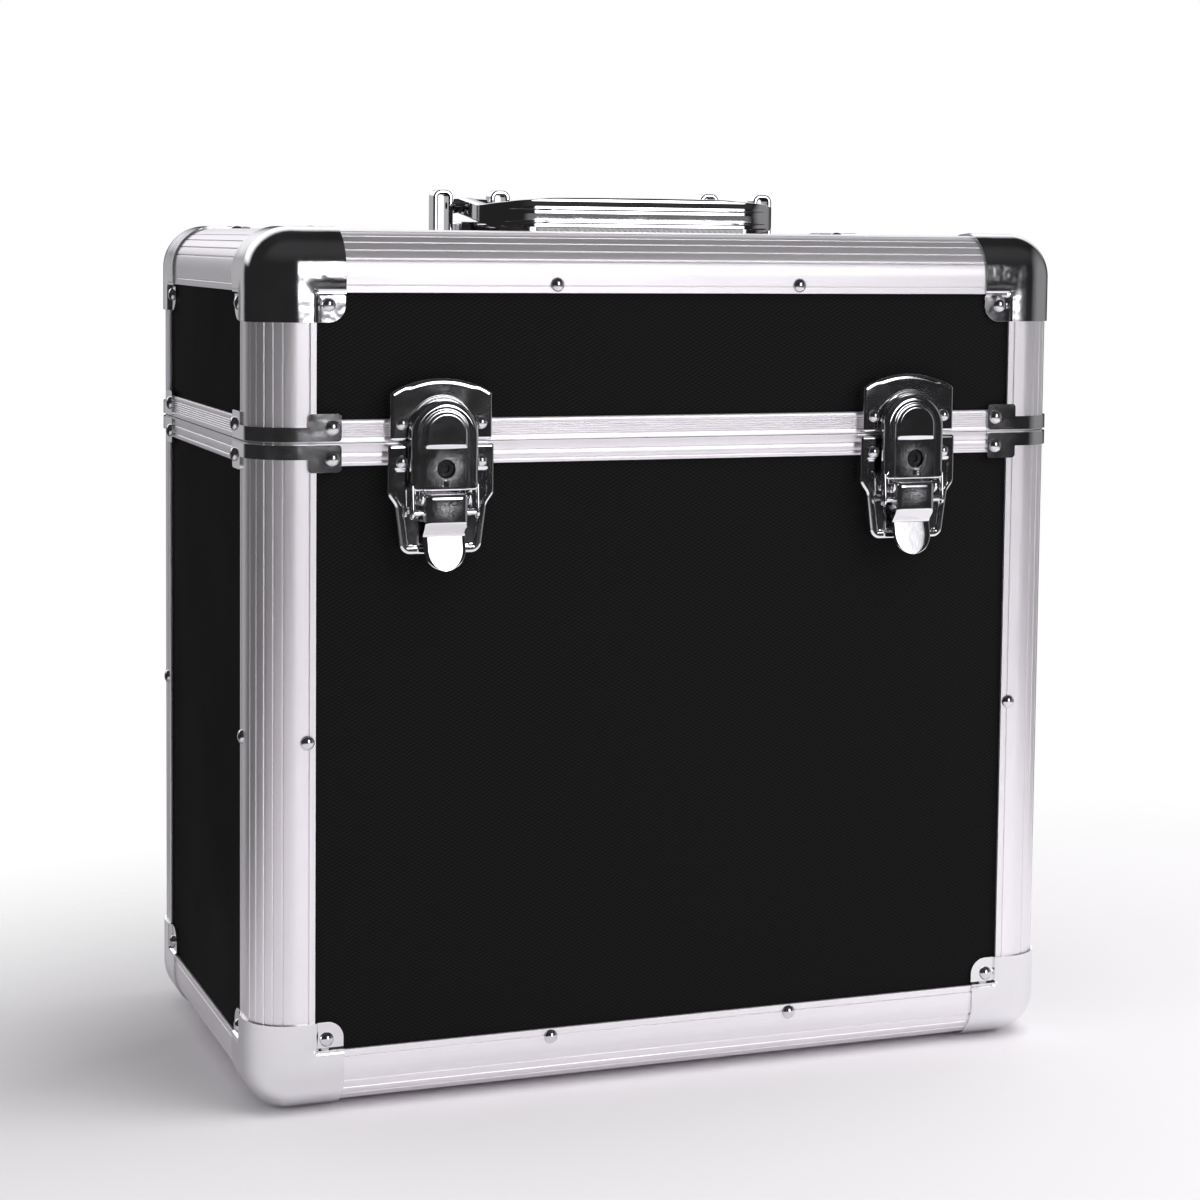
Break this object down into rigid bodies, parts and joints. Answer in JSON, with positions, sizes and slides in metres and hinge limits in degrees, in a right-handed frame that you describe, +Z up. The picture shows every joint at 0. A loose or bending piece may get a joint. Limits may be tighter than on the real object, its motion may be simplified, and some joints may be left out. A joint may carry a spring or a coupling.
{
  "type": "record carrying case",
  "caption": "Aluminium-framed carrying case for 12-inch records, with a hinged lid, toggle latches with lock cores, ball corners and a folding handle on top.",
  "frame": {"origin": "on the floor, under the middle of the case's bounding box", "axes": "+X to the right seen from the front, +Y from the latches to the hinges, +Z up"},
  "size_m": [0.3708, 0.2172, 0.38],
  "materials": {
    "laminate": "black laminate with a fine diagonal weave",
    "aluminium": "satin anodised, fine lines along the extrusion",
    "chrome": "bright plated",
    "rivet_steel": "plated domed heads",
    "zinc_steel": "plated steel",
    "lining": "black foam",
    "grip_strip": "ribbed strip"
  },
  "bodies": {
    "base": {"base_front_panel": "laminate", "base_back_panel": "laminate", "base_left_panel": "laminate", "base_right_panel": "laminate", "bottom_panel": "laminate", "base_post_front_left": "aluminium", "base_post_front_right": "aluminium", "base_post_back_left": "aluminium", "base_post_back_right": "aluminium", "bottom_rail_front": "aluminium", "bottom_rail_back": "aluminium", "bottom_rail_left": "aluminium", "bottom_rail_right": "aluminium", "base_rim": "aluminium", "bottom_cap_front_left": "chrome", "bottom_cap_front_right": "chrome", "bottom_cap_back_left": "chrome", "bottom_cap_back_right": "chrome", "base_seam_straps": "chrome", "base_rivets": "rivet_steel", "base_lining": "lining", "latch_plate_left": "chrome", "latch_plate_right": "chrome", "latch_pins": "zinc_steel", "hinge_base_leaves": "zinc_steel", "hinge_pins": "zinc_steel"},
    "lid": {"lid_front_panel": "laminate", "lid_back_panel": "laminate", "lid_left_panel": "laminate", "lid_right_panel": "laminate", "top_panel": "laminate", "lid_post_front_left": "aluminium", "lid_post_front_right": "aluminium", "lid_post_back_left": "aluminium", "lid_post_back_right": "aluminium", "top_rail_front": "aluminium", "top_rail_back": "aluminium", "top_rail_left": "aluminium", "top_rail_right": "aluminium", "lid_rim": "aluminium", "top_cap_front_left": "chrome", "top_cap_front_right": "chrome", "top_cap_back_left": "chrome", "top_cap_back_right": "chrome", "lid_seam_straps": "chrome", "lid_rivets": "rivet_steel", "lid_lining": "lining", "keeper_left": "chrome", "keeper_right": "chrome", "hinge_lid_leaves": "zinc_steel", "handle_tray": "chrome", "handle_brackets": "chrome"},
    "handle": {"handle_bail": "chrome", "handle_grip": "grip_strip"},
    "lever_left": {"lever_left": "chrome"},
    "lever_right": {"lever_right": "chrome"},
    "hood_left": {"hood_left": "chrome"},
    "hood_right": {"hood_right": "chrome"},
    "lock_core_left": {"lock_core_left": "chrome"},
    "lock_core_right": {"lock_core_right": "chrome"}
  },
  "joints": [
    {"name": "lid_hinge", "type": "hinge", "parent": "base", "child": "lid", "pos_m": [0, 0.1056, 0.276], "axis": [-1, 0, 0], "range_deg": [0, 100]},
    {"name": "handle_fold", "type": "hinge", "parent": "lid", "child": "handle", "pos_m": [0, -0.0021, 0.373], "axis": [-1, 0, 0], "range_deg": [0, 185]},
    {"name": "lever_left_turn", "type": "hinge", "parent": "base", "child": "lever_left", "pos_m": [-0.106, -0.1049, 0.2537], "axis": [-1, 0, 0], "range_deg": [0, 120]},
    {"name": "lever_right_turn", "type": "hinge", "parent": "base", "child": "lever_right", "pos_m": [0.106, -0.1049, 0.2537], "axis": [-1, 0, 0], "range_deg": [0, 120]},
    {"name": "hood_left_turn", "type": "hinge", "parent": "lever_left", "child": "hood_left", "pos_m": [-0.106, -0.1049, 0.2477], "axis": [-1, 0, 0], "range_deg": [-132, 0]},
    {"name": "hood_right_turn", "type": "hinge", "parent": "lever_right", "child": "hood_right", "pos_m": [0.106, -0.1049, 0.2477], "axis": [-1, 0, 0], "range_deg": [-132, 0]},
    {"name": "lock_core_left_turn", "type": "hinge", "parent": "hood_left", "child": "lock_core_left", "pos_m": [-0.106, -0.1049, 0.2656], "axis": [0, -1, 0], "range_deg": [0, 90]},
    {"name": "lock_core_right_turn", "type": "hinge", "parent": "hood_right", "child": "lock_core_right", "pos_m": [0.106, -0.1049, 0.2656], "axis": [0, -1, 0], "range_deg": [0, 90]}
  ],
  "couplings": [
    {"joint": "hood_left_turn", "follows": "lever_left_turn", "ratio": -1.1},
    {"joint": "hood_right_turn", "follows": "lever_right_turn", "ratio": -1.1}
  ]
}
